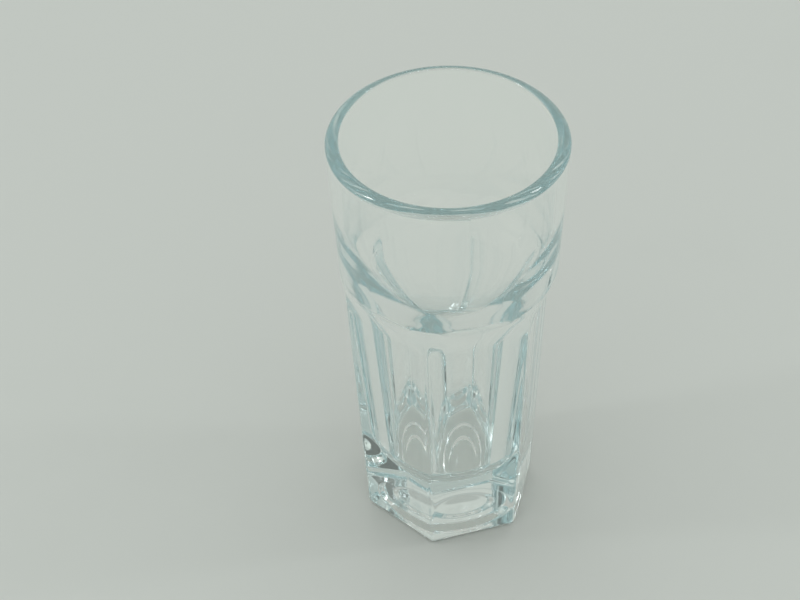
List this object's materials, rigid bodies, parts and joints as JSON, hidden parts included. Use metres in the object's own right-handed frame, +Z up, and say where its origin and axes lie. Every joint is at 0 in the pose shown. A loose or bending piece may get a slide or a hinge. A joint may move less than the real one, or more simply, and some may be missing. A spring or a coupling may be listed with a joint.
{
  "type": "fruit brandy glass",
  "caption": "Small tall pressed-glass tumbler for fruit brandy: round drinking band above flat arched panels that taper to a six-sided foot, with a stepped bore and a thick base.",
  "frame": {"origin": "centre of the foot, on the table", "axes": "+Z up along the glass's axis, with one flat panel facing -Y"},
  "size_m": [0.046, 0.046, 0.0922],
  "materials": {
    "clear_glass": "clear fire-polished pressed glass with a faint blue-green tint in the thick edges"
  },
  "bodies": {
    "root": {"glass_tumbler": "clear_glass"}
  },
  "joints": []
}
